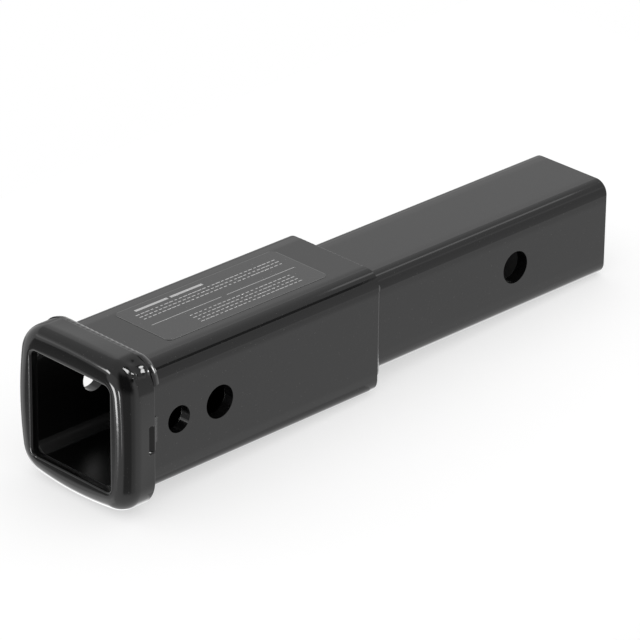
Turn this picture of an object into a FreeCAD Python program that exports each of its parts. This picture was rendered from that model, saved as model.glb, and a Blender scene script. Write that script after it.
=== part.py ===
import FreeCAD, Part
import math
import os

# Hitch extender: a welded steel fitting that moves a receiver back by one fixed distance.
# A square receiver tube with a forged collar at its mouth takes the inserted bar, and a
# smaller square shank, welded into the tube's rear end, goes into the receiver behind it.
# Units are millimetres. X runs along the tube from the mouth towards the shank's free end,
# Y points to the left, Z points up. The origin is the centre of the mouth, on the collar's
# front face.

# The square bar that both ends are made for
bar_width = 50.8

# Receiver tube: its bore takes the bar, and in its rear end the shank
socket_clearance = 0.55
receiver_wall = 5.8
receiver_corner_radius = 7.5
receiver_bore_radius = 2.0
receiver_length = 162.3

# Shank tube: as wide as the bar
shank_wall = 6.35
shank_corner_radius = 7.0
shank_bore_radius = 1.5
shank_overlap = 38.0
shank_end_chamfer = 0.8

# Holes for the pins, each drilled across both side walls
pin_hole_diameter = 16.7
receiver_pin_from_mouth = 63.5
pin_to_pin = 203.2
shank_pin_from_end = 65.6
clip_hole_diameter = 13.5
clip_hole_from_mouth = 38.1

# Collar: a forged ring with a lip that covers the tube's front end
collar_wall = 6.35
collar_depth = 17.8
collar_corner_radius = 15.8
collar_crown = 1.0
collar_front_round = 9.0
collar_flat_from = 10.0
collar_clearance = 0.2
lip_thickness = 3.6
mouth_clearance = 1.3
mouth_corner_radius = 4.5
mouth_edge_chamfer = 1.2

# Weld beads. A bead's straight run stops short of the end of the flat that it lies on.
collar_bead_leg = 6.4
collar_bead_bulge = 1.8
collar_bead_set_down = 0.3
collar_bead_wrap_deg = 58.0
under_bead_stop = 9.25
stitch_length = 13.0
stitch_drop = 0.4
stitch_crest_radius = 4.0
stitch_crest_forward = 1.0
stitch_crest_proud = 1.2
stitch_toe = 5.5
stitch_end_round = 2.4
shank_bead_leg = 6.6
shank_bead_bulge = 1.1
shank_bead_stop = 3.4
bead_root = 3.0
crown_flats = 3

# Label film on the top face
label_length = 101.6
label_width = 38.1
label_thickness = 0.15
label_corner_radius = 3.2
label_from_mouth = 45.2
label_off_centre = 1.5

# Sizes and places that follow
receiver_bore_width = bar_width + 2 * socket_clearance
receiver_width = receiver_bore_width + 2 * receiver_wall
receiver_half = receiver_width / 2
receiver_half_flat = receiver_half - receiver_corner_radius
receiver_front = lip_thickness
receiver_rear = receiver_front + receiver_length
shank_half = bar_width / 2
shank_half_flat = shank_half - shank_corner_radius
shank_front = receiver_rear - shank_overlap
shank_pin_x = receiver_pin_from_mouth + pin_to_pin
shank_rear = shank_pin_x + shank_pin_from_end
pocket_width = receiver_width + 2 * collar_clearance
collar_width = receiver_width + 2 * collar_wall
mouth_width = bar_width + 2 * mouth_clearance
collar_bead_height = collar_wall - collar_bead_set_down
receiver_step = receiver_half - shank_half

X_AXIS = FreeCAD.Vector(1, 0, 0)
Y_AXIS = FreeCAD.Vector(0, 1, 0)
Z_AXIS = FreeCAD.Vector(0, 0, 1)
ORIGIN = FreeCAD.Vector(0, 0, 0)
SIDE_TURNS = {"top": 0, "right": 90, "under": 180, "left": 270}


def point(x, y, z):
    return FreeCAD.Vector(x, y, z)


# A square with round corners in a plane across the tube. With a crown, each side is a
# shallow arc that runs tangent into the corners.
def square_wire(x, width, corner_radius, crown=0.0):
    centre = width / 2 - corner_radius
    lean = 2 * math.atan(crown / centre)
    side_mid = width / 2 + crown
    edges = []
    for quarter in range(4):
        start = quarter * math.pi / 2

        def place(y, z):
            cos_q = round(math.cos(start))
            sin_q = round(math.sin(start))
            return point(x, y * cos_q - z * sin_q, y * sin_q + z * cos_q)

        def on_corner(angle):
            reach_y = centre + corner_radius * math.cos(angle)
            reach_z = centre + corner_radius * math.sin(angle)
            return reach_y, reach_z

        low_y, low_z = on_corner(lean)
        mid_y, mid_z = on_corner(math.pi / 4)
        high_y, high_z = on_corner(math.pi / 2 - lean)
        side_end = place(low_y, low_z)
        side_start = place(low_y, -low_z)
        if crown > 0:
            edges.append(Part.Arc(side_start, place(side_mid, 0), side_end).toShape())
        else:
            edges.append(Part.makeLine(side_start, side_end))
        edges.append(Part.Arc(side_end, place(mid_y, mid_z), place(high_y, high_z)).toShape())
    return Part.Wire(edges)


def square_bar(x_start, x_end, width, corner_radius):
    face = Part.Face(square_wire(x_start, width, corner_radius))
    return face.extrude(point(x_end - x_start, 0, 0))


def cross_drill(x, diameter, width):
    start = point(x, -width, 0)
    return Part.makeCylinder(diameter / 2, 2 * width, start, Y_AXIS)


def edges_in_plane(shape, x):
    return [edge for edge in shape.Edges
            if abs(edge.BoundBox.XMin - x) < 0.001 and abs(edge.BoundBox.XMax - x) < 0.001]


# The edges in one plane whose middle lies nearer to the tube's axis than a given reach
def inner_edges_in_plane(shape, x, reach):
    found = []
    for edge in edges_in_plane(shape, x):
        middle = edge.valueAt((edge.FirstParameter + edge.LastParameter) / 2)
        if max(abs(middle.y), abs(middle.z)) < reach:
            found.append(edge)
    return found


# Receiver tube: square steel tube with a pin hole and a smaller clip hole
def make_receiver_tube():
    outside = square_bar(receiver_front, receiver_rear, receiver_width, receiver_corner_radius)
    bore = square_bar(receiver_front, receiver_rear, receiver_bore_width, receiver_bore_radius)
    tube = outside.cut(bore)
    tube = tube.cut(cross_drill(receiver_pin_from_mouth, pin_hole_diameter, receiver_width))
    return tube.cut(cross_drill(clip_hole_from_mouth, clip_hole_diameter, receiver_width))


# Shank tube: slides into the receiver tube's rear end and is open at both ends
def make_shank_tube():
    bore_width = bar_width - 2 * shank_wall
    outside = square_bar(shank_front, shank_rear, bar_width, shank_corner_radius)
    outside = outside.makeChamfer(shank_end_chamfer, edges_in_plane(outside, shank_rear))
    bore = square_bar(shank_front, shank_rear, bore_width, shank_bore_radius)
    tube = outside.cut(bore)
    return tube.cut(cross_drill(shank_pin_x, pin_hole_diameter, bar_width))


# Collar: its sides are crowned, with a deep round on the front edge, and towards the back
# each side falls away flat, so that the back edge is straight
def make_collar():
    face = Part.Face(square_wire(0, collar_width, collar_corner_radius, collar_crown))
    body = face.extrude(point(collar_depth, 0, 0))
    body = body.makeFillet(collar_front_round, edges_in_plane(body, 0))
    body = body.common(make_collar_relief())
    pocket_radius = receiver_corner_radius + collar_clearance
    pocket = square_bar(lip_thickness, collar_depth, pocket_width, pocket_radius)
    mouth = square_bar(0, lip_thickness, mouth_width, mouth_corner_radius)
    ring = body.cut(pocket).cut(mouth)
    rim = inner_edges_in_plane(ring, 0, mouth_width / 2 + mouth_edge_chamfer)
    return ring.makeChamfer(mouth_edge_chamfer, rim)


# A square frustum whose flat sides touch the crown at one distance from the mouth and have
# lost it at the back edge
def make_collar_relief():
    slope = collar_crown / (collar_depth - collar_flat_from)
    back = collar_width / 2
    front = back + slope * collar_depth
    relief = Part.makeWedge(-front, 0, -front, -back, -back, front, collar_depth, front, back, back)
    relief.rotate(ORIGIN, Z_AXIS, -90)
    return relief


# The section of a fillet bead. u runs back along the tube from the face it stands against,
# v runs outwards from the tube's surface. The crown is a few flats between points on an
# arc. The root reaches below the surface and is trimmed off by the tube.
def bead_section(height, leg, bulge):
    half_chord = math.hypot(height, leg) / 2
    radius = (half_chord ** 2 + bulge ** 2) / (2 * bulge)
    sunk = (radius - bulge) / (2 * half_chord)
    centre_u = leg / 2 - sunk * height
    centre_v = height / 2 - sunk * leg
    start = math.atan2(height - centre_v, -centre_u)
    turn = start - math.atan2(-centre_v, leg - centre_u)
    corners = [point(0, 0, -bead_root)]
    for step in range(crown_flats + 1):
        angle = start - turn * step / crown_flats
        corners.append(point(centre_u + radius * math.cos(angle), 0, centre_v + radius * math.sin(angle)))
    corners.append(point(leg, 0, -bead_root))
    return Part.Face(Part.makePolygon(corners + corners[:1]))


# What rounds off a bead that runs on past y = 0: a block that leaves a round post as wide as
# the bead, standing on the corner that the bead fills
def end_cutter(leg, side):
    width = 4 * leg
    corner = point(-width / 2, min(0, side * width), -width / 2)
    post = Part.makeCylinder(leg, width, point(0, 0, -width / 2))
    return Part.makeBox(width, width, width, corner).cut(post)


# A bead on the top face whose round ends start at y = -half_run and y = half_run
def straight_bead(height, leg, bulge, half_run):
    bead = bead_section(height, leg, bulge)
    bead.translate(point(0, -half_run - leg, 0))
    bead = bead.extrude(point(0, 2 * (half_run + leg), 0))
    for side in (-1, 1):
        cutter = end_cutter(leg, side)
        cutter.translate(point(0, side * half_run, 0))
        bead = bead.cut(cutter)
    return bead


# A bead over the whole top face that also turns round both upper corners. Its round ends
# start where it has turned by the given angle, and they follow the bend.
def wrapped_bead(height, leg, bulge, half_flat, corner_radius, wrap_degrees):
    section = bead_section(height, leg, bulge)
    bead = section.copy()
    bead.translate(point(0, -half_flat, 0))
    bead = bead.extrude(point(0, 2 * half_flat, 0))
    for side in (-1, 1):
        centre = point(0, side * half_flat, -corner_radius)
        start = section.copy()
        start.translate(point(0, side * half_flat, 0))
        bend = start.revolve(centre, X_AXIS, -side * (wrap_degrees + 90))
        cutter = end_cutter(leg, side)
        cutter.translate(point(0, side * half_flat, 0))
        cutter.rotate(centre, X_AXIS, -side * wrap_degrees)
        bead = bead.fuse(bend.cut(cutter))
    return bead


# Moves a bead made on the top face to its seat, turns it to its side and trims it
def seated(bead, x, half_width, side, trims, drop=0.0):
    placed = bead.copy()
    placed.translate(point(x, 0, half_width))
    placed.rotate(ORIGIN, X_AXIS, SIDE_TURNS[side])
    placed.translate(point(0, 0, -drop))
    for trim in trims:
        placed = placed.cut(trim)
    return placed.removeSplitter()


# The long bead along the collar's back edge, over the top and round the upper corners
def make_collar_top_bead(trims):
    bead = wrapped_bead(collar_bead_height, collar_bead_leg, collar_bead_bulge,
                        receiver_half_flat, receiver_corner_radius, collar_bead_wrap_deg)
    return seated(bead, collar_depth, receiver_half, "top", trims)


# A shorter bead on the flat below
def make_collar_under_bead(trims):
    bead = straight_bead(collar_bead_height, collar_bead_leg, collar_bead_bulge,
                         receiver_half_flat - under_bead_stop)
    return seated(bead, collar_depth, receiver_half, "under", trims)


# A stitch at the middle of one side. Its round crest has run over the collar's back edge.
def make_stitch(side, trims):
    centre_u = -stitch_crest_forward
    centre_v = collar_wall + stitch_crest_proud - stitch_crest_radius
    reach = math.hypot(stitch_toe - centre_u, centre_v)
    down = math.atan2(-centre_v, stitch_toe - centre_u)
    flank = down + math.acos(stitch_crest_radius / reach)

    def on_crest(angle):
        u = centre_u + stitch_crest_radius * math.cos(angle)
        v = centre_v + stitch_crest_radius * math.sin(angle)
        return point(u, 0, v)

    corners = [
        on_crest(flank),
        point(stitch_toe, 0, 0),
        point(stitch_toe, 0, -bead_root),
        point(0, 0, -bead_root),
        point(0, 0, centre_v),
        on_crest(math.pi),
    ]
    outline = [Part.Arc(corners[-1], on_crest(math.pi / 2), corners[0]).toShape()]
    for start, end in zip(corners, corners[1:]):
        outline.append(Part.makeLine(start, end))
    section = Part.Face(Part.Wire(outline))
    bead = section.extrude(point(0, stitch_length, 0))
    front = centre_u - stitch_crest_radius
    height = collar_wall + stitch_crest_proud + bead_root
    plan = Part.makeBox(stitch_toe - front, stitch_length, height, point(front, 0, -bead_root))
    upright = [edge for edge in plan.Edges if edge.BoundBox.ZLength > height / 2]
    bead = bead.common(plan.makeFillet(stitch_end_round, upright))
    bead.translate(point(0, -stitch_length / 2, 0))
    return seated(bead, collar_depth, receiver_half, side, trims, stitch_drop)


# A fillet bead between the receiver tube's rear face and one flat of the shank
def make_shank_bead(side, trims):
    bead = straight_bead(receiver_step, shank_bead_leg, shank_bead_bulge,
                         shank_half_flat - shank_bead_stop)
    return seated(bead, receiver_rear, shank_half, side, trims)


# Label film: a thin rounded rectangle stuck on the top face
def make_label_film():
    start = point(label_from_mouth, label_off_centre - label_width / 2, receiver_half)
    film = Part.makeBox(label_length, label_width, label_thickness, start)
    upright = [edge for edge in film.Edges if edge.BoundBox.ZLength > label_thickness / 2]
    return film.makeFillet(label_corner_radius, upright)


receiver_tube = make_receiver_tube()
shank_tube = make_shank_tube()
collar = make_collar()

nodes = {
    "receiver_tube": receiver_tube,
    "shank_tube": shank_tube,
    "collar": collar,
    "collar_weld_top": make_collar_top_bead([receiver_tube, collar]),
    "collar_weld_under": make_collar_under_bead([receiver_tube, collar]),
    "collar_weld_right": make_stitch("right", [receiver_tube, collar]),
    "collar_weld_left": make_stitch("left", [receiver_tube, collar]),
    "label_film": make_label_film(),
}
for side in SIDE_TURNS:
    nodes["shank_weld_" + side] = make_shank_bead(side, [receiver_tube, shank_tube])

os.makedirs("parts", exist_ok=True)
for name, shape in nodes.items():
    solid = shape.Solids[0]
    solid.exportStep("parts/" + name + ".step")
    print(name, len(shape.Solids), solid.isValid(), round(solid.Volume, 1))
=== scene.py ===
# %% [markdown]
# A hitch extender in a white studio
#
# The real thing is a welded steel fitting. A square receiver tube has a forged collar round its
# mouth, a smaller square shank is welded into its rear end, and everything is dipped in gloss
# black paint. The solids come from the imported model, in metres, with X along the tube from the
# mouth to the shank's end, Y to the left and Z up. This lesson gives them their looks.

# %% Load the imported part
import math
import bpy
import bmesh
from mathutils import Matrix, Vector


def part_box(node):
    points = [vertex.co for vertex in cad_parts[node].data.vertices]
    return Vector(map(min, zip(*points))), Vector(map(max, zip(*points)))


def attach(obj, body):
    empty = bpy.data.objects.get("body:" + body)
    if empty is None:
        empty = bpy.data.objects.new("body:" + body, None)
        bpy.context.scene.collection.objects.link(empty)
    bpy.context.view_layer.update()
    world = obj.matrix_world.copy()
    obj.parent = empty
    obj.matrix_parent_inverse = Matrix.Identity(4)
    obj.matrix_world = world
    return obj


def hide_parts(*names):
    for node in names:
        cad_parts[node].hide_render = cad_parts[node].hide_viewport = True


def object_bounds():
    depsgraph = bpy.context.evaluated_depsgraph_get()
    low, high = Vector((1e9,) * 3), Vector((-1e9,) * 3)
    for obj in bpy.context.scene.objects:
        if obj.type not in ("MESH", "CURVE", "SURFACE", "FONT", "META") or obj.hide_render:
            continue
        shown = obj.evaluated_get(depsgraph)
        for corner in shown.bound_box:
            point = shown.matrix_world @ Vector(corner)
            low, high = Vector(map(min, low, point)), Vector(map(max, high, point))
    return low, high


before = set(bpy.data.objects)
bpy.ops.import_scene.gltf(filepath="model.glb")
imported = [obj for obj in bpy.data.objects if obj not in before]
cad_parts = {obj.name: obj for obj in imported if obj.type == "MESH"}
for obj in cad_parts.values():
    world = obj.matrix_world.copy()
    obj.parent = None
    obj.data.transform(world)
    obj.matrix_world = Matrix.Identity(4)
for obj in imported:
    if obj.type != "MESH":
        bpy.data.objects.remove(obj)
cad_low, cad_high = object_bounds()
MM = 0.001
print("solids:", sorted(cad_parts))

# %% [markdown]
# The camera
#
# Black gloss paint shows the room rather than itself, so the camera's place comes first. It
# stands far off with a long lens, which keeps the tube's long edges nearly parallel. Its place
# is worked out from two angles, a roll and a distance, so each of them can be turned alone.

# %% Camera
camera_azimuth = math.radians(-44.689)
camera_elevation = math.radians(26.001)
camera_roll = math.radians(0.681)
camera_distance = 2.05105
aim_right = 0.11335
aim_up = 0.04622
lens_mm = 254.82


def camera_axes(azimuth, elevation, roll):
    back = Vector((
        math.sin(azimuth) * math.cos(elevation),
        -math.cos(azimuth) * math.cos(elevation),
        math.sin(elevation),
    ))
    level = Vector((0, 0, 1)).cross(back).normalized()
    upright = back.cross(level)
    right = level * math.cos(roll) + upright * math.sin(roll)
    up = upright * math.cos(roll) - level * math.sin(roll)
    return right, up, back


def add_object(name, data):
    made = bpy.data.objects.new(name, data)
    bpy.context.scene.collection.objects.link(made)
    return made


def make_camera():
    right, up, back = camera_axes(camera_azimuth, camera_elevation, camera_roll)
    eye = back * camera_distance + right * aim_right + up * aim_up
    data = bpy.data.cameras.new("studio_camera")
    data.sensor_width = 36
    data.lens = lens_mm
    data.clip_end = 20
    camera = add_object("studio_camera", data)
    turn = Matrix((right, up, back)).transposed().to_4x4()
    camera.matrix_world = Matrix.Translation(eye) @ turn
    bpy.context.scene.camera = camera
    return eye


print("camera at", [round(value, 3) for value in make_camera()])
bpy.context.scene.view_settings.view_transform = "Standard"

# %% [markdown]
# Small helpers for node trees
#
# Shader trees and geometry trees are built in the same way: make a node, give its sockets values
# or links. A few short functions keep the later cells readable. A socket that is given a number
# keeps it as its own value, and one that is given another socket is linked to it.

# %% Node helpers


def feed(tree, socket, value):
    if isinstance(value, bpy.types.NodeSocket):
        tree.links.new(value, socket)
    else:
        socket.default_value = value


def add_node(tree, kind, inputs=None, **settings):
    node = tree.nodes.new(kind)
    for name, value in settings.items():
        setattr(node, name, value)
    for name, value in (inputs or {}).items():
        feed(tree, node.inputs[name], value)
    return node


def calculate(tree, operation, *values):
    node = add_node(tree, "ShaderNodeMath", operation=operation)
    for socket, value in zip(node.inputs, values):
        feed(tree, socket, value)
    return node.outputs[0]


def ramp(tree, value, start, end, low=0.0, high=1.0):
    node = add_node(tree, "ShaderNodeMapRange", interpolation_type="SMOOTHSTEP")
    for socket, number in zip(node.inputs, (value, start, end, low, high)):
        feed(tree, socket, number)
    return node.outputs[0]


def new_tree(name, kind, inputs, outputs):
    tree = bpy.data.node_groups.new(name, kind)
    for title, socket_type, value in inputs:
        socket = tree.interface.new_socket(title, in_out="INPUT", socket_type=socket_type)
        if value is not None:
            socket.default_value = value
    for title, socket_type in outputs:
        tree.interface.new_socket(title, in_out="OUTPUT", socket_type=socket_type)
    return tree


def new_material(name):
    material = bpy.data.materials.new(name)
    material.use_nodes = True
    material.node_tree.nodes.clear()
    return material


def show(tree, shader):
    add_node(tree, "ShaderNodeOutputMaterial", {"Surface": shader.outputs[0]})


def show_principled(tree, colour, roughness, height, depth, ior):
    bump = add_node(tree, "ShaderNodeBump", {"Height": height, "Strength": 1.0, "Distance": depth})
    show(tree, add_node(tree, "ShaderNodeBsdfPrincipled", {
        "Base Color": colour, "Roughness": roughness, "Normal": bump.outputs[0], "IOR": ior}))


print("helpers ready")

# %% [markdown]
# The room
#
# The diffuse light is even and white. What gives the paint its form is what the gloss mirrors:
# a white floor and back wall, a dimmer ceiling, the dark room behind the camera and beyond the
# table's left end, a few narrow lamps to the left of the camera and one overhead. The light of
# the floor and the walls fades to the ceiling's between two elevations, and the rest are patches
# with soft edges that are laid over it. A row of the table gives a patch's middle as azimuth and
# elevation, its width, height and soft edge, all in degrees, and its brightness. A later patch
# lies over the earlier ones. Only glossy rays see all this, so the background stays plain white.

# %% World
floor_light = 1.0
ceiling_light = 0.70
ceiling_from = math.radians(27.5)
ceiling_full = math.radians(34)
room_patches = (
    # the back wall, the dim strip low on it, the dim room to the right and the soft lamp above
    # the shank's far side
    (43, 20, 34, 16, 10, 0.85),
    (55, -1, 18, 26, 6, 0.45),
    (-50, 3, 30, 45, 10, 0.66),
    (58, 40, 30, 16, 8, 1.0),
    # the table behind the part: dim to its left, bright under it and out to its left end
    (62, -22, 56, 18, 12, 0.35),
    (66, -45, 50, 16, 10, 3.0),
    (28, -43, 30, 16, 10, 1.7),
    (120, -46, 50, 20, 8, 1.4),
    # the dark room beyond the table's left end, and the bright rim of the ceiling above it
    (131.5, -21.5, 11, 13, 4, 0.29),
    (136, -5, 24, 32, 6, 0.29),
    (130, 23, 30, 6, 5, 1.7),
    # the dark room behind the camera, darkest above the height of the table
    (-120, 1.5, 60, 83, 26, 0.66),
    (-138, 1.5, 50, 83, 14, 0.36),
    (-132, 30, 76, 62, 26, 0.06),
    # two narrow upright lamps to the left of the camera, each with a dimmer foot, and a small
    # lamp over them
    (157, -26.5, 13, 4, 3, 2.5),
    (157, -17.5, 13, 17.5, 1.5, 14.0),
    (-176, -23, 4, 10, 2, 4.0),
    (-176, -14, 4, 17, 2, 16.0),
    (147, 26.5, 15, 8, 3, 14.0),
    # the overhead lamp, in a dark part of the ceiling
    (-56, 76, 100, 38, 9, 0.28),
    (-61, 73, 40, 22, 5, 16.0),
    # a small lamp beyond the shank, which only the backs of the weld beads mirror
    (-10, 13, 12, 10, 4, 16.0),
)


def add_patch(tree, angles, level, azimuth, elevation, width, height, edge, brightness):
    across = calculate(tree, "SUBTRACT", angles[0], math.radians(azimuth))
    across = calculate(tree, "WRAP", across, math.pi, -math.pi)
    up = calculate(tree, "SUBTRACT", angles[1], math.radians(elevation))
    mask = 1.0
    for angle, size in ((across, width), (up, height)):
        away = calculate(tree, "ABSOLUTE", angle)
        outside = math.radians((size + edge) / 2)
        inside = math.radians((size - edge) / 2)
        mask = calculate(tree, "MULTIPLY", mask, ramp(tree, away, outside, inside))
    change = calculate(tree, "SUBTRACT", brightness, level)
    return calculate(tree, "MULTIPLY_ADD", mask, change, level)


def make_world():
    world = bpy.data.worlds.new("white_studio")
    bpy.context.scene.world = world
    world.use_nodes = True
    tree = world.node_tree
    tree.nodes.clear()
    direction = add_node(tree, "ShaderNodeTexCoord").outputs["Generated"]
    part = add_node(tree, "ShaderNodeSeparateXYZ", {"Vector": direction}).outputs
    azimuth = calculate(tree, "ARCTAN2", part["Y"], part["X"])
    elevation = calculate(tree, "ARCSINE", part["Z"])
    level = ramp(tree, elevation, ceiling_from, ceiling_full, floor_light, ceiling_light)
    for patch in room_patches:
        level = add_patch(tree, (azimuth, elevation), level, *patch)
    glossy = add_node(tree, "ShaderNodeLightPath").outputs["Is Glossy Ray"]
    seen = add_node(tree, "ShaderNodeMix", {"Factor": glossy, "A": 1.0, "B": level})
    background = add_node(tree, "ShaderNodeBackground", {
        "Color": (1, 1, 1, 1), "Strength": seen.outputs[0]})
    add_node(tree, "ShaderNodeOutputWorld", {"Surface": background.outputs[0]})
    return world


print("world:", make_world().name, "with", len(room_patches), "patches")

# %% [markdown]
# The floor
#
# Left on a table, the part lies on the collar's underside and on the far edge of the shank, so
# the floor leans by a few degrees in the part's own frame. It is white, and the camera sees it a
# little lifted, so that only the part's soft shadow is darker than the background. The gloss
# mirrors the world's patches in its place.

# %% Floor
floor_reach = 220 * MM
floor_gap = 0.1 * MM
floor_grey = 0.45
floor_mottle = 0.01
mottle_scale = 9.0
mottle_range = (0.2, 0.8)
floor_lift = 0.58
collar_low, collar_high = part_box("collar")
shank_low, shank_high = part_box("shank_tube")
collar_middle = (collar_low.x + collar_high.x) / 2
floor_slope = (shank_low.z - collar_low.z) / (shank_high.x - collar_middle)


def floor_height(x):
    return collar_low.z - floor_gap + floor_slope * (x - collar_middle)


def white_floor_material():
    material = new_material("white_floor")
    tree = material.node_tree
    coordinates = add_node(tree, "ShaderNodeTexCoord").outputs["Object"]
    cloud = add_node(tree, "ShaderNodeTexNoise", {
        "Vector": coordinates, "Scale": mottle_scale, "Detail": 3.0})
    shade = ramp(tree, cloud.outputs[0], *mottle_range, floor_grey, floor_grey + floor_mottle)
    colour = add_node(tree, "ShaderNodeCombineColor", {0: shade, 1: shade, 2: shade})
    paper = add_node(tree, "ShaderNodeBsdfDiffuse", {"Color": colour.outputs[0]})
    camera_ray = add_node(tree, "ShaderNodeLightPath").outputs["Is Camera Ray"]
    lift = calculate(tree, "MULTIPLY", camera_ray, floor_lift)
    glow = add_node(tree, "ShaderNodeEmission", {"Strength": lift})
    show(tree, add_node(tree, "ShaderNodeAddShader", {0: paper.outputs[0], 1: glow.outputs[0]}))
    return material


def make_floor():
    corners = []
    for x in (cad_low.x - floor_reach, cad_high.x + floor_reach):
        for y in (cad_low.y - floor_reach, cad_high.y + floor_reach):
            corners.append((x, y, floor_height(x)))
    mesh = bpy.data.meshes.new("floor")
    mesh.from_pydata(corners, [], [(0, 2, 3, 1)])
    mesh.materials.append(white_floor_material())
    floor = add_object("floor", mesh)
    floor.visible_glossy = False


make_floor()
print("floor leans by", round(math.degrees(math.atan(floor_slope)), 2), "degrees")

# %% [markdown]
# Cards beside the tubes
#
# The long round corners mirror whatever runs beside them. A black card beside the receiver tube
# draws the thin dark line along its upper corner, and a bright strip over the shank draws the
# light one there. Two dim sheets on the table stand for the tube's own contact shade. All are
# stage pieces that only glossy rays see.

# %% Cards
card_away = 300 * MM
tube_low, tube_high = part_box("receiver_tube")
tube_corner = 7.5 * MM
shank_corner = 7.0 * MM
shade_start = 22 * MM
shade_right = -40 * MM
shade_middle = -22 * MM
shade_left = 40 * MM


def card_object(name, corners, brightness):
    material = new_material(name)
    tree = material.node_tree
    show(tree, add_node(tree, "ShaderNodeEmission", {"Strength": brightness}))
    mesh = bpy.data.meshes.new(name)
    mesh.from_pydata(corners, [], [(0, 1, 3, 2)])
    mesh.materials.append(material)
    card = add_object(name, mesh)
    card.visible_camera = False
    card.visible_diffuse = False
    card.visible_transmission = False
    card.visible_shadow = False


def make_card(name, low, high, corner_radius, azimuth, elevation, width, brightness):
    azimuth = math.radians(azimuth)
    elevation = math.radians(elevation)
    away = Vector((
        math.cos(elevation) * math.cos(azimuth),
        math.cos(elevation) * math.sin(azimuth),
        math.sin(elevation),
    )) * card_away
    inset = corner_radius * (1 - math.sqrt(0.5))
    middle = Vector((0, low.y + inset, high.z - inset)) + away
    across = Vector((0, -away.z, away.y)).normalized() * width / 2
    start = low.x + away.x
    end = high.x + away.x
    corners = []
    for x in (start, end):
        for side in (-1, 1):
            corners.append((x, middle.y + side * across.y, middle.z + side * across.z))
    card_object(name, corners, brightness)


def make_shade(name, right, left, brightness):
    corners = []
    for x in (shade_start, tube_high.x):
        for y in (right, left):
            corners.append((x, y, floor_height(x) + floor_gap / 2))
    card_object(name, corners, brightness)


make_card("black_card", tube_low, tube_high, tube_corner,
          azimuth=-41, elevation=32, width=75 * MM, brightness=0.15)
make_card("strip_lamp", shank_low, shank_high, shank_corner,
          azimuth=-4, elevation=50, width=50 * MM, brightness=1.8)
make_shade("outer_shade", shade_right, shade_middle, brightness=0.7)
make_shade("inner_shade", shade_middle, shade_left, brightness=0.4)
print("cards", round(card_away / MM), "mm from the corners they shine on")

# %% [markdown]
# Gloss paint
#
# The paint is thick and glossy. Close up it has the fine dimples that painters call orange peel,
# faint draw lines of the rolled tube beneath, patches that are a little duller, and some specks
# of dust. The same coat lies on every steel piece, so this is one node group with a few inputs.
# It puts out a colour, a roughness and a height, and each material has its own Principled shader.
# Where a range of a noise changes something, four numbers say from which value of the noise to which, and
# from which factor to which. Two things follow the place on the tube: the bore is dull and painted nearly
# black as the shade inside the tube, and the flats begin to roll off a few millimetres before the round
# of the solid's corner, as they do on a rolled tube.

# %% Paint group
roll_before = 4.5 * MM
roll_after = 2.0 * MM
bore_edge = 0.2 * MM
# painted shade: the bore's darker colour stands for the shade inside the tube
bore_shade_black = (0.002, 0.002, 0.002, 1)
line_stretch = (4, 700, 700)
cloud_scale = 38.0
cloud_gloss = (0.35, 0.75, 0.85, 1.35)
streak_gloss = (0.35, 0.65, 0.93, 1.07)
dust_scale = 1400.0
dust_range = (0.80, 0.86)
dust_grey = (0.09, 0.088, 0.085, 1)
dust_roughness = 0.35


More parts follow.
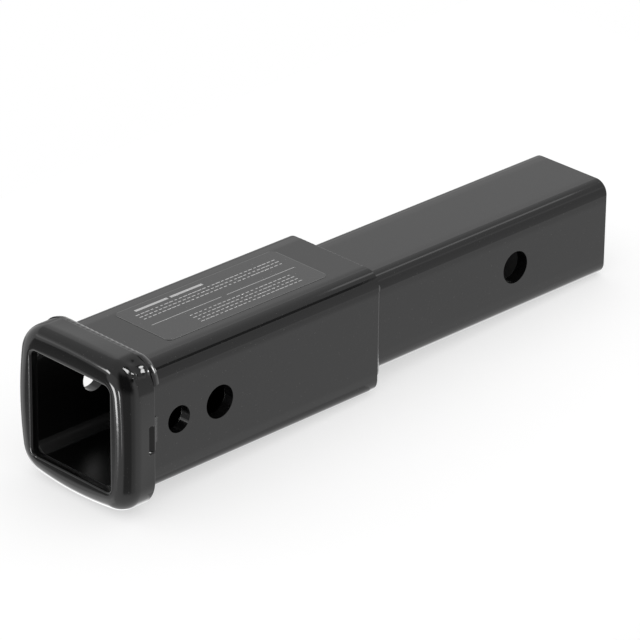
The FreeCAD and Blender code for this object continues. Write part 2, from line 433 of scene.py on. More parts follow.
def make_paint_group():
    group = new_tree("gloss_paint", "ShaderNodeTree", [
        ("Coordinates", "NodeSocketVector", None),
        ("Paint", "NodeSocketColor", (0.01, 0.01, 0.01, 1)),
        ("Roughness", "NodeSocketFloat", 0.1),
        ("Peel Scale", "NodeSocketFloat", 500.0),
        ("Draw Lines", "NodeSocketFloat", 0.3),
        ("Dust", "NodeSocketFloat", 0.5),
        ("Bore Half", "NodeSocketFloat", 0.02),
        ("Bore Roughness", "NodeSocketFloat", 0.3),
        ("Corner Start", "NodeSocketFloat", 0.024),
        ("Corner Roll", "NodeSocketFloat", 0.0),
    ], [
        ("Color", "NodeSocketColor"),
        ("Roughness", "NodeSocketFloat"),
        ("Height", "NodeSocketFloat"),
    ])
    given = add_node(group, "NodeGroupInput").outputs
    peel = add_node(group, "ShaderNodeTexNoise", {
        "Vector": given["Coordinates"], "Scale": given["Peel Scale"], "Detail": 1.0})
    stretched = add_node(group, "ShaderNodeMapping", {
        "Vector": given["Coordinates"], "Scale": line_stretch})
    lines = add_node(group, "ShaderNodeTexNoise", {
        "Vector": stretched.outputs[0], "Scale": 1.0, "Detail": 2.0})
    cloud = add_node(group, "ShaderNodeTexNoise", {
        "Vector": given["Coordinates"], "Scale": cloud_scale, "Detail": 4.0})
    specks = add_node(group, "ShaderNodeTexNoise", {
        "Vector": given["Coordinates"], "Scale": dust_scale, "Detail": 0.0})
    speck = ramp(group, specks.outputs[0], *dust_range)
    speck = calculate(group, "MULTIPLY", speck, given["Dust"])
    place = add_node(group, "ShaderNodeSeparateXYZ", {"Vector": given["Coordinates"]}).outputs
    beside = calculate(group, "ABSOLUTE", place["Y"])
    above = calculate(group, "ABSOLUTE", place["Z"])
    farther = calculate(group, "MAXIMUM", beside, above)
    # the bore mask carries both the painted shade colour and the bore's real, rougher coat
    bore = ramp(group, calculate(group, "SUBTRACT", farther, given["Bore Half"]), bore_edge, 0.0)
    draw = calculate(group, "MULTIPLY", lines.outputs[0], given["Draw Lines"])
    draw = calculate(group, "MULTIPLY", draw, calculate(group, "SUBTRACT", 1.0, bore))
    height = calculate(group, "ADD", peel.outputs[0], draw)
    for side in (beside, above):
        past = calculate(group, "SUBTRACT", side, given["Corner Start"])
        fall = ramp(group, past, -roll_before, roll_after, 0.0, -1.0)
        height = calculate(group, "MULTIPLY_ADD", fall, given["Corner Roll"], height)
    duller = ramp(group, cloud.outputs[0], *cloud_gloss)
    roughness = calculate(group, "MULTIPLY", given["Roughness"], duller)
    roughness = calculate(group, "MULTIPLY_ADD", speck, dust_roughness, roughness)
    tint = add_node(group, "ShaderNodeMix", {
        "Factor": speck, "A": given["Paint"], "B": dust_grey}, data_type="RGBA")
    streak = ramp(group, lines.outputs[0], *streak_gloss)
    inside = calculate(group, "MULTIPLY", given["Bore Roughness"], streak)
    change = calculate(group, "SUBTRACT", inside, roughness)
    roughness = calculate(group, "MULTIPLY_ADD", bore, change, roughness)
    # painted shade: inside the bore the colour turns to the darker bore colour
    bore_shaded_colour = add_node(group, "ShaderNodeMix", {
        "Factor": bore, "A": tint.outputs["Result"], "B": bore_shade_black}, data_type="RGBA")
    add_node(group, "NodeGroupOutput", {
        "Color": bore_shaded_colour.outputs["Result"], "Roughness": roughness, "Height": height})
    return group


paint_group = make_paint_group()
print("group:", paint_group.name)

# %% [markdown]
# Paint on each kind of piece
#
# The tubes carry the flattest coat, with faint lines along them. The forged collar's is a little glossier
# and wavier, and that of the weld beads is duller and has more dust. The corners of the bore have a
# rougher coat in a paler grey, which is painted light: the faint band that the light inside the tube lays
# along them. The bump's distance is real: orange peel is only a few thousandths of a millimetre deep. The
# roll of a corner goes through the same bump, so its depth is given as a multiple of that distance. A
# bore half of nothing means that the piece has no bore.

# %% Paint materials
paint_ior = 1.5


def make_paint(name, colour, peel_depth, roll=0.0, **coat_values):
    material = new_material(name)
    tree = material.node_tree
    coat = add_node(tree, "ShaderNodeGroup", node_tree=paint_group)
    feed(tree, coat.inputs["Coordinates"], add_node(tree, "ShaderNodeTexCoord").outputs["Object"])
    coat.inputs["Paint"].default_value = (*colour, 1)
    coat.inputs["Corner Roll"].default_value = roll / peel_depth
    for key, value in coat_values.items():
        coat.inputs[key.replace("_", " ").title()].default_value = value
    made = coat.outputs
    show_principled(tree, made["Color"], made["Roughness"], made["Height"], peel_depth, paint_ior)
    return material


tube_black = (0.0045, 0.0045, 0.0047)
collar_black = (0.003, 0.003, 0.0031)
# painted light: the paler grey of the bore's corners is the faint band of light inside the tube
bore_corner_painted_light_grey = (0.022, 0.022, 0.022)
tube_coat = {"roughness": 0.09, "peel_scale": 420, "draw_lines": 0.25, "dust": 0.4}
receiver_paint = make_paint(
    "receiver_paint", tube_black, peel_depth=0.006 * MM, roll=0.35 * MM,
    bore_half=26.2 * MM, corner_start=24.25 * MM, **tube_coat)
shank_paint = make_paint(
    "shank_paint", tube_black, peel_depth=0.006 * MM, roll=0.2 * MM,
    bore_half=19.3 * MM, corner_start=18.4 * MM, **tube_coat)
collar_paint = make_paint(
    "collar_paint", collar_black, peel_depth=0.009 * MM, roughness=0.07,
    peel_scale=300, draw_lines=0.0, dust=0.4, bore_half=26.8 * MM)
bead_paint = make_paint(
    "bead_paint", tube_black, peel_depth=0.008 * MM, roughness=0.12,
    peel_scale=500, draw_lines=0.0, dust=0.6, bore_half=0.0)
# painted light: rougher coat with a paler grey that draws the light band in the bore's corners
bore_corner_paint = make_paint(
    "bore_corner_paint", bore_corner_painted_light_grey, peel_depth=0.006 * MM, roughness=0.35,
    peel_scale=420, draw_lines=0.1, dust=0.2, bore_half=0.0)

for node, paint in (("receiver_tube", receiver_paint), ("shank_tube", shank_paint)):
    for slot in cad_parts[node].material_slots:
        slot.material = paint
print("paint on the tubes")

# %% [markdown]
# The collar
#
# The collar is forged: its sides bow outwards a little, its front edge is a deep round, and its
# mouth has a small one. Such a form is one section carried round a square with round corners. A
# row of the section says how far back it lies, half the square's width there, how round its
# corners are and what share of the full bow its sides have. The rows are joined into a closed
# ring. The bows are given for the left side, the top, the right side and the underside: the
# forging left the lower left half a little fuller.

# %% Sizes of the collar
collar_depth = collar_high.x
lip_depth = tube_low.x
tube_half = tube_high.z
collar_half = tube_half + 6.35 * MM
collar_corner = 15.8 * MM
side_bows = (1.9 * MM, 1.2 * MM, 1.2 * MM, 2.0 * MM)
front_round = 9.0 * MM
back_round = 0.6 * MM
mouth_half = 26.7 * MM
mouth_corner = 3.2 * MM
mouth_round = 1.4 * MM
face_slope = math.radians(3.5)
notch_depth = 2.2 * MM
notch_start = 13.7 * MM
notch_margin = 0.4 * MM
pocket_gap = 0.2 * MM
pocket_half = tube_half + pocket_gap
pocket_corner = tube_corner + pocket_gap
face_width = collar_half - front_round - mouth_half - mouth_round
face_drop = (face_width + (front_round + mouth_round) * face_slope) * face_slope
back_rows = 5
notch_rows = 20
side_rows = 12
front_rows = 40
mouth_rows = 8


def bow_share_at(x):
    return 1 - x / collar_depth


def arc_steps(steps, start=0.0, end=math.pi / 2):
    return [start + (end - start) * step / steps for step in range(steps + 1)]


def collar_rows():
    rows = [(lip_depth, pocket_half, pocket_corner, 0.0)]
    rows.append((collar_depth, pocket_half, pocket_corner, 0.0))
    half_way = (pocket_half + collar_half - back_round) / 2
    rows.append((collar_depth, half_way, (pocket_corner + collar_corner) / 2, 0.0))

    def add_outside(x, inset=0.0):
        rows.append((x, collar_half - inset, collar_corner - inset, bow_share_at(x)))

    for angle in arc_steps(back_rows):
        add_outside(collar_depth - back_round * (1 - math.cos(angle)), back_round * (1 - math.sin(angle)))
    side_start = collar_depth - back_round
    side_middle = notch_start - notch_margin
    for step in range(1, notch_rows + 1):
        add_outside(side_start - (side_start - side_middle) * step / notch_rows)
    round_start = front_round + face_drop
    for step in range(1, side_rows):
        add_outside(side_middle - (side_middle - round_start) * step / side_rows)
    for angle in arc_steps(front_rows, 0.0, math.pi / 2 - face_slope):
        add_outside(round_start - front_round * math.sin(angle), front_round * (1 - math.cos(angle)))
    for angle in arc_steps(mouth_rows, face_slope, math.pi / 2):
        x = mouth_round * (1 - math.cos(angle))
        reach = mouth_round * (1 - math.sin(angle))
        rows.append((x, mouth_half + reach, mouth_corner + reach, 0.0))
    rows.append((lip_depth, mouth_half, mouth_corner, 0.0))
    return rows


print("collar section has", len(collar_rows()), "rows")

# %% [markdown]
# Carrying the section round the square
#
# Each side of the bowed square is a shallow arc that runs tangent into its corners. The same
# number of stations on every row makes clean quads. The left and right sides get more of them for
# their weld notches, and so does the upper right corner for the small wrinkles that the forging
# left there, which catch the lamps.

# %% Collar mesh
side_steps = (120, 30, 120, 30)
corner_steps = (36, 120, 36, 36)
same_point = 1e-7


def square_stations(half, corner, bow_share):
    centre = half - corner
    leans = [2 * math.atan(bow * bow_share / centre) for bow in side_bows]
    points = []
    for quarter in range(4):
        bow = side_bows[quarter] * bow_share
        lean = leans[quarter]
        next_lean = leans[(quarter + 1) % 4]
        reach = centre + corner * math.sin(lean)
        local = []
        for step in range(side_steps[quarter]):
            share = 2 * step / side_steps[quarter] - 1
            if bow > 0:
                radius = reach / math.sin(lean)
                angle = lean * share
                local.append((half + bow - radius + radius * math.cos(angle), radius * math.sin(angle)))
            else:
                local.append((half, centre * share))
        for step in range(corner_steps[quarter]):
            angle = lean + (math.pi / 2 - lean - next_lean) * step / corner_steps[quarter]
            local.append((centre + corner * math.cos(angle), centre + corner * math.sin(angle)))
        turn = quarter * math.pi / 2
        for y, z in local:
            points.append((
                y * math.cos(turn) - z * math.sin(turn),
                y * math.sin(turn) + z * math.cos(turn),
            ))
    return points


def ring_mesh(name, rows):
    vertices = []
    for x, half, corner, bow_share in rows:
        vertices += [(x, y, z) for y, z in square_stations(half, corner, bow_share)]
    around = len(vertices) // len(rows)
    faces = []
    for row in range(len(rows)):
        after = (row + 1) % len(rows)
        for station in range(around):
            beside = (station + 1) % around
            faces.append((
                row * around + station,
                row * around + beside,
                after * around + beside,
                after * around + station,
            ))
    mesh = bpy.data.meshes.new(name)
    mesh.from_pydata(vertices, [], faces)
    return mesh


def finish_mesh(mesh, material, sharp_degrees=35):
    work = bmesh.new()
    work.from_mesh(mesh)
    bmesh.ops.remove_doubles(work, verts=work.verts, dist=same_point)
    bmesh.ops.recalc_face_normals(work, faces=work.faces)
    work.to_mesh(mesh)
    work.free()
    mesh.shade_smooth()
    mesh.set_sharp_from_angle(angle=math.radians(sharp_degrees))
    mesh.materials.clear()
    mesh.materials.append(material)


def place_piece(mesh, name, replaced=None):
    piece = add_object(name, mesh)
    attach(piece, "root")
    if replaced:
        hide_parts(replaced)
    return piece


collar_mesh = ring_mesh("forged_collar", collar_rows())
print("collar ring:", len(collar_mesh.vertices), "points")

# %% [markdown]
# Wrinkles and weld notches
#
# Where the steel was gathered into the upper right corner, it folded into four small lumps and a
# dent. On each side the stitch weld burned a notch into the collar's back edge: steep in front,
# with a floor that rises to the edge. The wrinkles move the ring's points along their normals,
# the notches move them inwards. A wrinkle's row says how far back it lies in millimetres, how
# far round the corner in degrees, and how long, wide and high it is in millimetres.

# %% Wrinkles and notches
wrinkles = (
    (16.2, 49.5, 1.7, 1.9, 0.72),
    (14.8, 38.0, 1.5, 1.15, 0.80),
    (9.2, 43.0, 0.7, 0.9, 0.38),
    (7.8, 36.0, 0.7, 0.7, 0.30),
    (12.3, 65.0, 1.4, 1.2, -0.45),
)
notch_top = 6.3 * MM
notch_bottom = -7.0 * MM
notch_end = 0.5 * MM
notch_wall = 0.6 * MM
notch_runout = 1.0 * MM
notch_band = 2 * MM


def ease(value, start, end):
    share = min(1.0, max(0.0, (value - start) / (end - start)))
    return share * share * (3 - 2 * share)


def wrinkle_height(place):
    if place.y > collar_corner - collar_half or place.z < collar_half - collar_corner:
        return 0.0
    centre = collar_half - collar_corner
    angle = math.degrees(math.atan2(place.z - centre, -place.y - centre))
    radius = math.hypot(place.z - centre, place.y + centre)
    total = 0.0
    for x, middle, length, width, height in wrinkles:
        along = (place.x / MM - x) / length
        across = math.radians(angle - middle) * radius / MM / width
        total += height * MM * math.exp(-(along * along + across * across) / 2)
    return total


def notch_at(place):
    ends = ease(place.z, notch_bottom - notch_end, notch_bottom + notch_end)
    ends *= ease(place.z, notch_top + notch_end / 2, notch_top - notch_end / 2)
    drop = ease(place.x, notch_start, notch_start + notch_wall)
    behind_wall = max(0.0, place.x - notch_start - notch_wall)
    rise = 1 - behind_wall / (collar_depth - notch_start - notch_runout)
    return notch_depth * ends * drop * max(0.0, rise)


def shape_collar(mesh):
    work = bmesh.new()
    work.from_mesh(mesh)
    bmesh.ops.recalc_face_normals(work, faces=work.faces)
    work.normal_update()
    for point in work.verts:
        outside = max(abs(point.co.y), abs(point.co.z)) > collar_half - front_round
        if outside and point.co.x < collar_depth - back_round:
            point.co += point.normal * wrinkle_height(point.co)
        if abs(point.co.y) > collar_half - notch_band:
            point.co.y -= math.copysign(notch_at(point.co), point.co.y)
    work.to_mesh(mesh)
    work.free()


shape_collar(collar_mesh)
finish_mesh(collar_mesh, collar_paint)
place_piece(collar_mesh, "forged_collar", "collar")
print("collar:", len(collar_mesh.polygons), "faces")

# %% [markdown]
# Rolled corners inside the tube
#
# A square tube is rolled from strip, so its bore has soft corners, and what light gets in lies along them
# in a faint band, which is painted onto them here as a paler grey. Four thin strips lie in the bore's
# corners from the collar's lip to the shank. Each is a closed piece with a quarter round cut out of its
# inner side.

# %% Bore corners
bore_half = 25.95 * MM
bore_round = 5.2 * MM
strip_sink = 0.25 * MM
strip_start = lip_depth + 0.05 * MM
strip_end = shank_low.x - 0.1 * MM


def bore_corner_mesh(steps=14):
    centre = bore_half - bore_round
    work = bmesh.new()
    for quarter in range(4):
        turn = Matrix.Rotation(quarter * math.pi / 2, 3, "X")
        section = [Vector((0, bore_half + strip_sink, bore_half + strip_sink))]
        section.append(Vector((0, centre, bore_half + strip_sink)))
        for angle in arc_steps(steps, math.pi / 2, 0.0):
            y = centre + bore_round * math.cos(angle)
            z = centre + bore_round * math.sin(angle)
            section.append(Vector((0, y, z)))
        section.append(Vector((0, bore_half + strip_sink, centre)))
        rings = []
        for x in (strip_start, strip_end):
            rings.append([work.verts.new(turn @ point + Vector((x, 0, 0))) for point in section])
        work.faces.new(rings[0])
        work.faces.new(rings[1])
        for index in range(len(section)):
            after = (index + 1) % len(section)
            work.faces.new((rings[0][index], rings[0][after], rings[1][after], rings[1][index]))
    mesh = bpy.data.meshes.new("bore_corners")
    work.to_mesh(mesh)
    work.free()
    return mesh


bore_mesh = bore_corner_mesh()
finish_mesh(bore_mesh, bore_corner_paint)
place_piece(bore_mesh, "bore_corners")
print("bore corners:", len(bore_mesh.polygons), "faces")

# %% [markdown]
# Weld beads
#
# A bead is a row of frozen pools, each lapping over the one before. Geometry Nodes make it: the
# section is carried along a path, drawn in to a point at both ends, made a little uneven by
# noise, and moved in and out in ripples that bend backwards across the bead, as a moving arc
# leaves them. The ripples are the absolute value of a sine, less its mean, so a bead keeps its
# size. A swell makes one place of a bead thicker. The same tree makes every bead. Only the path,
# the section and the inputs differ.

# %% Rippled bead tree
thinnest_end = 0.02
wobbles_per_metre = 260.0
crown = 0.35
crown_lag = 8.0
uneven_pitch = 6.0
mean_wave = 0.64


def make_bead_tree():
    tree = new_tree("rippled_bead", "GeometryNodeTree", [
        ("Geometry", "NodeSocketGeometry", None),
        ("Section", "NodeSocketObject", None),
        ("Step", "NodeSocketFloat", 0.25 * MM),
        ("End Length", "NodeSocketFloat", 5.0 * MM),
        ("Pitch", "NodeSocketFloat", 1.6 * MM),
        ("Ripple", "NodeSocketFloat", 0.2 * MM),
        ("Lag", "NodeSocketFloat", 0.8),
        ("Wobble", "NodeSocketFloat", 0.12),
        ("Swell", "NodeSocketFloat", 0.0),
        ("Swell Place", "NodeSocketFloat", 0.0),
        ("Swell Length", "NodeSocketFloat", 10 * MM),
        ("Seed", "NodeSocketFloat", 0.0),
        ("Material", "NodeSocketMaterial", None),
    ], [("Geometry", "NodeSocketGeometry")])
    given = add_node(tree, "NodeGroupInput").outputs

    path = add_node(tree, "GeometryNodeMeshToCurve", {"Mesh": given["Geometry"]})
    path = add_node(tree, "GeometryNodeResampleCurve", {
        "Curve": path.outputs[0], "Length": given["Step"]}, mode="LENGTH")
    spot = add_node(tree, "GeometryNodeSplineParameter").outputs
    whole = add_node(tree, "GeometryNodeSplineLength").outputs["Length"]
    left = calculate(tree, "SUBTRACT", whole, spot["Length"])
    near = calculate(tree, "MINIMUM", left, spot["Length"])
    share = calculate(tree, "DIVIDE", near, given["End Length"])
    short = calculate(tree, "SUBTRACT", 1.0, calculate(tree, "MINIMUM", share, 1.0))
    short = calculate(tree, "MULTIPLY", short, short)
    fullness = calculate(tree, "SQRT", calculate(tree, "SUBTRACT", 1 + thinnest_end ** 2, short))
    off = calculate(tree, "SUBTRACT", spot["Length"], given["Swell Place"])
    off = calculate(tree, "DIVIDE", off, given["Swell Length"])
    bulge = calculate(tree, "MULTIPLY", calculate(tree, "MULTIPLY", off, off), -1.0)
    bulge = calculate(tree, "EXPONENT", bulge)
    bulge = calculate(tree, "MULTIPLY_ADD", bulge, given["Swell"], 1.0)
    fullness = calculate(tree, "MULTIPLY", fullness, bulge)
    spread = calculate(tree, "MULTIPLY_ADD", spot["Length"], wobbles_per_metre, given["Seed"])
    noise = add_node(tree, "ShaderNodeTexNoise", {
        "W": spread, "Scale": 1.0, "Detail": 1.0}, noise_dimensions="1D")
    drift = calculate(tree, "SUBTRACT", noise.outputs[0], 0.5)
    drift = calculate(tree, "MULTIPLY", drift, given["Wobble"])
    radius = calculate(tree, "MULTIPLY", fullness, calculate(tree, "MULTIPLY_ADD", drift, 2.0, 1.0))
    path = add_node(tree, "GeometryNodeSetCurveRadius", {"Curve": path.outputs[0], "Radius": radius})
    path = add_node(tree, "GeometryNodeSetCurveNormal", {
        "Curve": path.outputs[0], "Normal": (1, 0, 0)}, mode="FREE")
    along = add_node(tree, "GeometryNodeCaptureAttribute", {"Geometry": path.outputs[0]})
    along.capture_items.new("FLOAT", "Along")
    feed(tree, along.inputs["Along"], spot["Length"])

    section = add_node(tree, "GeometryNodeObjectInfo", {"Object": given["Section"]})
    section = add_node(tree, "GeometryNodeMeshToCurve", {"Mesh": section.outputs["Geometry"]})
    across = add_node(tree, "GeometryNodeCaptureAttribute", {"Geometry": section.outputs[0]})
    across.capture_items.new("FLOAT", "Across")
    feed(tree, across.inputs["Across"], spot["Factor"])

    skin = add_node(tree, "GeometryNodeCurveToMesh", {
        "Curve": along.outputs["Geometry"],
        "Profile Curve": across.outputs["Geometry"],
        "Fill Caps": True,
    })
    from_crown = calculate(tree, "SUBTRACT", across.outputs["Across"], crown)
    bend = calculate(tree, "MULTIPLY", calculate(tree, "MULTIPLY", from_crown, from_crown), given["Lag"])
    phase = calculate(tree, "DIVIDE", along.outputs["Along"], given["Pitch"])
    phase = calculate(tree, "MULTIPLY_ADD", bend, crown_lag, phase)
    phase = calculate(tree, "ADD", phase, calculate(tree, "MULTIPLY", drift, uneven_pitch))
    wave = calculate(tree, "SINE", calculate(tree, "MULTIPLY", phase, math.pi))
    wave = calculate(tree, "SUBTRACT", calculate(tree, "ABSOLUTE", wave), mean_wave)
    height = calculate(tree, "MULTIPLY", wave, given["Ripple"])
    normal = add_node(tree, "GeometryNodeInputNormal").outputs[0]
    offset = add_node(tree, "ShaderNodeVectorMath", {0: normal}, operation="SCALE")
    feed(tree, offset.inputs["Scale"], height)
    skin = add_node(tree, "GeometryNodeSetPosition", {
        "Geometry": skin.outputs[0], "Offset": offset.outputs[0]})
    skin = add_node(tree, "GeometryNodeRealizeInstances", {"Geometry": skin.outputs[0]})
    skin = add_node(tree, "GeometryNodeSetMaterial", {
        "Geometry": skin.outputs[0], "Material": given["Material"]})
    add_node(tree, "NodeGroupOutput", {"Geometry": skin.outputs[0]})
    return tree


bead_tree = make_bead_tree()
print("tree:", bead_tree.name, "with", len(bead_tree.nodes), "nodes")

# %% [markdown]
# Running a tree
#
# A tree is run on a small guide object. Its inputs are set by their identifiers before anything
# is evaluated, the result is copied out as a plain mesh, and the guide is deleted.

# %% Tree runner


def guide_object(name, points, closed=False):
    edges = [(index, index + 1) for index in range(len(points) - 1)]
    if closed:
        edges.append((len(points) - 1, 0))
    mesh = bpy.data.meshes.new(name)
    mesh.from_pydata(points, edges, [])
    return add_object(name, mesh)


def drop_guide(guide):
    mesh = guide.data
    bpy.data.objects.remove(guide)
    bpy.data.meshes.remove(mesh)


def grow(name, guide, tree, **values):
    modifier = guide.modifiers.new("grow", "NODES")
    modifier.node_group = tree
    for item in tree.interface.items_tree:
        key = item.name.replace(" ", "_").lower()
        if item.in_out == "INPUT" and key in values:
            modifier[item.identifier] = values[key]
    guide.update_tag()
    bpy.context.view_layer.update()
    ready = guide.evaluated_get(bpy.context.evaluated_depsgraph_get())
    mesh = bpy.data.meshes.new_from_object(ready)
    mesh.name = name
    guide.modifiers.remove(modifier)
    drop_guide(guide)
    return mesh


print("tree runner ready")

# %% [markdown]
# Sections and paths of the beads
#
# A section is drawn in a plane, with its first number running back along the tube and its second
# number outwards. A fillet bead is a bulging arc between two faces. The stitch on each side is
# concave: it falls from the collar's back edge and runs out thin on the tube. The paths lie in
# planes across the tube, at the foot of the face that each bead stands against.

# %% Bead sections and paths
collar_bead_leg = 6.4 * MM
collar_bead_height = 6.05 * MM
collar_bead_bulge = 1.8 * MM
collar_bead_wrap = math.radians(84)
shank_bead_leg = 6.6 * MM
shank_bead_bulge = 0.6 * MM
under_bead_stop = 9.25 * MM
shank_bead_stop = 3.4 * MM
stitch_top = 6.1 * MM
stitch_toe = 7.4 * MM
stitch_edge = 0.5 * MM
stitch_edge_drop = 0.3 * MM
stitch_skin = 0.02 * MM
sink = 0.4 * MM
shank_half = shank_high.z
tube_rear = tube_high.x
quarter_turns = {"top": 0, "right": 90, "under": 180, "left": 270}


def fillet_section(height, leg, bulge, steps=14):
    half_chord = math.hypot(height, leg) / 2
    radius = (half_chord ** 2 + bulge ** 2) / (2 * bulge)
    sunk = (radius - bulge) / (2 * half_chord)
    centre_u = leg / 2 - sunk * height
    centre_v = height / 2 - sunk * leg
    start = math.atan2(height - centre_v, -centre_u)
    end = math.atan2(-centre_v, leg - centre_u)
    points = [(-sink, -sink, 0), (-sink, height, 0)]
    for angle in arc_steps(steps, start, end):
        points.append((centre_u + radius * math.cos(angle), centre_v + radius * math.sin(angle), 0))
    points.append((leg, -sink, 0))
    return points


def stitch_section(steps=16):
    points = [(-sink, -sink, 0), (-sink, stitch_top, 0), (stitch_edge, stitch_top - stitch_edge_drop, 0)]
    for step in range(1, steps + 1):
        u = stitch_toe * step / steps
        points.append((u, stitch_top * (1 - u / stitch_toe) ** 2 + stitch_skin, 0))
    points.append((stitch_toe, -sink, 0))
    return points


def turned(points, side):
    turn = Matrix.Rotation(math.radians(quarter_turns[side]), 3, "X")
    return [turn @ Vector(point) for point in points]


def straight_path(x, half, run):
    return [(x, run, half), (x, -run, half)]


def wrapped_path(x, half, corner, wrap, steps=30):
    flat = half - corner
    points = []
    for angle in arc_steps(steps, wrap, 0.0):
        points.append((x, flat + corner * math.sin(angle), flat + corner * math.cos(angle)))
    for angle in arc_steps(steps, 0.0, wrap):
        points.append((x, -flat - corner * math.sin(angle), flat + corner * math.cos(angle)))
    return points


print("stitch section has", len(stitch_section()), "points")

# %% [markdown]
# Laying the beads
#
# Eight beads hold the fitting together. The long one over the top of the collar wraps round both
# upper corners and has wide, calm ripples and one thicker place. The one under the collar has
# closer and deeper ripples. A short stitch lies behind the notch on each side. Four fillets close
# the step from the receiver tube down to the shank and leave its corners open. Each bead has its
# own seed, so that no two are alike.

# %% Make the beads


def make_bead(name, replaced, section, path, **values):
    section_guide = guide_object("section", section, closed=True)
    section_guide.hide_render = True
    path_guide = guide_object("path", path)
    mesh = grow(name, path_guide, bead_tree, section=section_guide, material=bead_paint, **values)
    drop_guide(section_guide)
    finish_mesh(mesh, bead_paint, sharp_degrees=60)
    piece = place_piece(mesh, name, replaced)
    print(name, len(mesh.polygons), "faces", [round(size / MM, 1) for size in piece.dimensions])


collar_fillet = fillet_section(collar_bead_height, collar_bead_leg, collar_bead_bulge)
under_run = tube_half - tube_corner - under_bead_stop + collar_bead_leg
stitch_run = 6.5 * MM
make_bead(
    "collar_bead_top", "collar_weld_top", collar_fillet,
    wrapped_path(collar_depth, tube_half, tube_corner, collar_bead_wrap),
    end_length=6.4 * MM, pitch=3.4 * MM, ripple=0.10 * MM, wobble=0.16, seed=3.0,
    swell=0.30, swell_place=29.0 * MM, swell_length=6.5 * MM)
make_bead(
    "collar_bead_under", "collar_weld_under", collar_fillet,
    turned(straight_path(collar_depth, tube_half, under_run), "under"),
    end_length=6.4 * MM, pitch=2.1 * MM, ripple=0.25 * MM, seed=11.0)
for side, seed in (("right", 17.0), ("left", 23.0)):
    make_bead(
        "stitch_" + side, "collar_weld_" + side, stitch_section(),
        turned(straight_path(collar_depth, tube_half, stitch_run), side),
        end_length=2.6 * MM, pitch=2.4 * MM, ripple=0.03 * MM, seed=seed)
shank_fillet = fillet_section(tube_half - shank_half, shank_bead_leg, shank_bead_bulge)
shank_run = shank_half - shank_corner - shank_bead_stop + shank_bead_leg
for number, side in enumerate(("top", "right", "under", "left")):
    make_bead(
        "shank_bead_" + side, "shank_weld_" + side, shank_fillet,
        turned(straight_path(tube_rear, shank_half, shank_run), side),
        end_length=6.6 * MM, pitch=2.6 * MM, ripple=0.08 * MM, seed=31.0 + 7 * number)

# %% [markdown]
# Label film and its print
#
# A thin black film lies on the top face. It is a little duller than the paint and slightly wavy where it
# was rubbed down, and a paler grey is painted along its cut rim as the edge's highlight. The print on it
# is a paler and duller version of the same material.

# %% Film material
film_low, film_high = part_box("label_film")
film_middle = (film_low + film_high) / 2
film_black = (0.033, 0.033, 0.0335)
print_grey = (0.50, 0.50, 0.50)
rim_width = 0.5 * MM
# painted highlight: a paler grey along the film's cut rim
rim_highlight_grey = (0.13, 0.13, 0.13, 1)
wave_scale = 60.0
grain_scale = 1800.0
grain_dark = 0.8
grain_range = (0.3, 0.7)
grain_gloss = (0.9, 1.15)
film_ior = 1.5


def make_film_material(name, colour, roughness, wave_depth):
    material = new_material(name)
    tree = material.node_tree
    coordinates = add_node(tree, "ShaderNodeTexCoord").outputs["Object"]
    wave = add_node(tree, "ShaderNodeTexNoise", {
        "Vector": coordinates, "Scale": wave_scale, "Detail": 2.0})
    grain = add_node(tree, "ShaderNodeTexNoise", {
        "Vector": coordinates, "Scale": grain_scale, "Detail": 2.0})
    dark = tuple(channel * grain_dark for channel in colour)
    tint = add_node(tree, "ShaderNodeMix", {
        "Factor": grain.outputs[0], "A": (*dark, 1), "B": (*colour, 1)}, data_type="RGBA")
    smooth, rough = (roughness * share for share in grain_gloss)
    dull = ramp(tree, grain.outputs[0], *grain_range, smooth, rough)
    spot = add_node(tree, "ShaderNodeSeparateXYZ", {"Vector": coordinates}).outputs
    from_end = calculate(tree, "ABSOLUTE", calculate(tree, "SUBTRACT", spot["X"], film_middle.x))
    from_end = calculate(tree, "SUBTRACT", film_high.x - film_middle.x, from_end)
    from_side = calculate(tree, "ABSOLUTE", calculate(tree, "SUBTRACT", spot["Y"], film_middle.y))
    from_side = calculate(tree, "SUBTRACT", film_high.y - film_middle.y, from_side)
    # painted highlight: the colour turns paler near the film's cut rim
    rim_highlight = ramp(tree, calculate(tree, "MINIMUM", from_end, from_side), rim_width, 0.0)
    edged = add_node(tree, "ShaderNodeMix", {
        "Factor": rim_highlight, "A": tint.outputs["Result"], "B": rim_highlight_grey}, data_type="RGBA")
    show_principled(tree, edged.outputs["Result"], dull, wave.outputs[0], wave_depth, film_ior)
    return material


film_material = make_film_material("label_film", film_black, roughness=0.16, wave_depth=0.03 * MM)
print_material = make_film_material("label_print", print_grey, roughness=0.35, wave_depth=0.01 * MM)
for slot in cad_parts["label_film"].material_slots:
    slot.material = film_material
print("film and print")

# %% [markdown]
# Printed bars
#
# The print is generic: a header of two bars, two rules and rows of short bars that look like
# lines of small type from a step away. A tree sets the bars out on a grid, each with its own
# length.

# %% Printed bars tree
bar_thickness = 0.04 * MM
longest_bar = 0.93


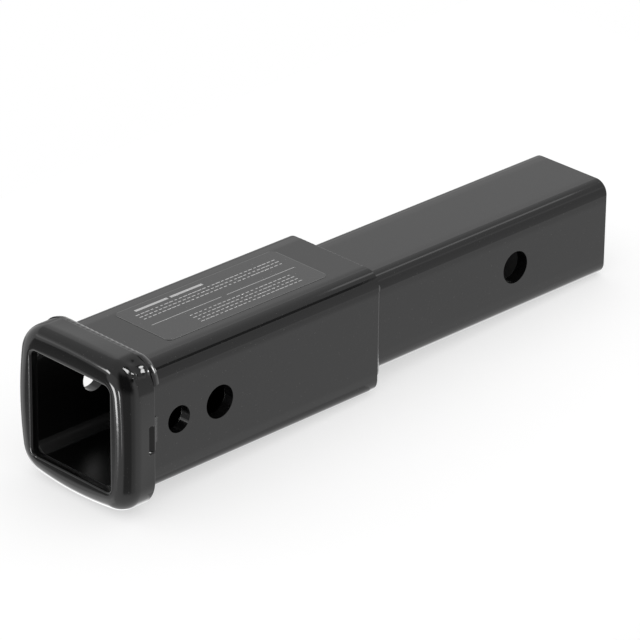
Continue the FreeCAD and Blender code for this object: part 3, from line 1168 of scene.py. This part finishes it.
def make_print_tree():
    tree = new_tree("printed_bars", "GeometryNodeTree", [
        ("Geometry", "NodeSocketGeometry", None),
        ("Length", "NodeSocketFloat", 60 * MM),
        ("Rows", "NodeSocketInt", 3),
        ("Words", "NodeSocketInt", 14),
        ("Row Pitch", "NodeSocketFloat", 2.4 * MM),
        ("Bar Height", "NodeSocketFloat", 0.5 * MM),
        ("Shortest", "NodeSocketFloat", 0.45),
        ("Seed", "NodeSocketInt", 0),
        ("Material", "NodeSocketMaterial", None),
    ], [("Geometry", "NodeSocketGeometry")])
    given = add_node(tree, "NodeGroupInput").outputs
    depth = calculate(tree, "MULTIPLY", given["Row Pitch"], calculate(tree, "SUBTRACT", given["Rows"], 1))
    grid = add_node(tree, "GeometryNodeMeshGrid", {
        "Size X": given["Length"], "Size Y": depth,
        "Vertices X": given["Words"], "Vertices Y": given["Rows"]})
    cell = calculate(tree, "DIVIDE", given["Length"], calculate(tree, "SUBTRACT", given["Words"], 1))
    size = add_node(tree, "ShaderNodeCombineXYZ", {
        "X": cell, "Y": given["Bar Height"], "Z": bar_thickness})
    bar = add_node(tree, "GeometryNodeMeshCube", {"Size": size.outputs[0]})
    share = add_node(tree, "FunctionNodeRandomValue", {"Seed": given["Seed"]}, data_type="FLOAT")
    feed(tree, share.inputs[2], given["Shortest"])
    feed(tree, share.inputs[3], longest_bar)
    stretch = add_node(tree, "ShaderNodeCombineXYZ", {"X": share.outputs[1], "Y": 1.0, "Z": 1.0})
    bars = add_node(tree, "GeometryNodeInstanceOnPoints", {
        "Points": grid.outputs[0], "Instance": bar.outputs[0], "Scale": stretch.outputs[0]})
    bars = add_node(tree, "GeometryNodeRealizeInstances", {"Geometry": bars.outputs[0]})
    bars = add_node(tree, "GeometryNodeSetMaterial", {
        "Geometry": bars.outputs[0], "Material": given["Material"]})
    add_node(tree, "NodeGroupOutput", {"Geometry": bars.outputs[0]})
    return tree


print_tree = make_print_tree()
print("tree:", print_tree.name, "with", len(print_tree.nodes), "nodes")

# %% [markdown]
# Placing the print
#
# Four blocks of bars are measured from the film's middle and edges, so that they stay on it. They
# are one layer of ink on one film, so they are joined into one piece.

# %% Print on the film


def print_block(name, x, y, **values):
    guide = guide_object(name, [(0, 0, 0)])
    mesh = grow(name, guide, print_tree, material=print_material, **values)
    mesh.transform(Matrix.Translation((x, y, film_high.z)))
    return mesh


def join_meshes(name, meshes):
    work = bmesh.new()
    for mesh in meshes:
        work.from_mesh(mesh)
        bpy.data.meshes.remove(mesh)
    joined = bpy.data.meshes.new(name)
    work.to_mesh(joined)
    work.free()
    return joined


blocks = [
    print_block("header", film_middle.x - 20 * MM, film_high.y - 4.5 * MM, length=22 * MM, rows=1,
                words=2, bar_height=1.7 * MM, shortest=0.92, seed=1),
    print_block("upper_rows", film_middle.x, film_high.y - 11.0 * MM, length=86 * MM, rows=3,
                words=30, row_pitch=2.6 * MM, bar_height=0.6 * MM, seed=2),
    print_block("rule", film_middle.x, film_middle.y - 1.5 * MM, length=47 * MM, rows=1,
                words=2, bar_height=0.35 * MM, shortest=0.92, seed=3),
    print_block("lower_rows", film_middle.x + 6 * MM, film_low.y + 9.0 * MM, length=62 * MM, rows=4,
                words=22, row_pitch=2.6 * MM, bar_height=0.55 * MM, seed=4),
]
print_mesh = join_meshes("label_print", blocks)
finish_mesh(print_mesh, print_material)
place_piece(print_mesh, "label_print")
print("print:", len(print_mesh.polygons), "faces")
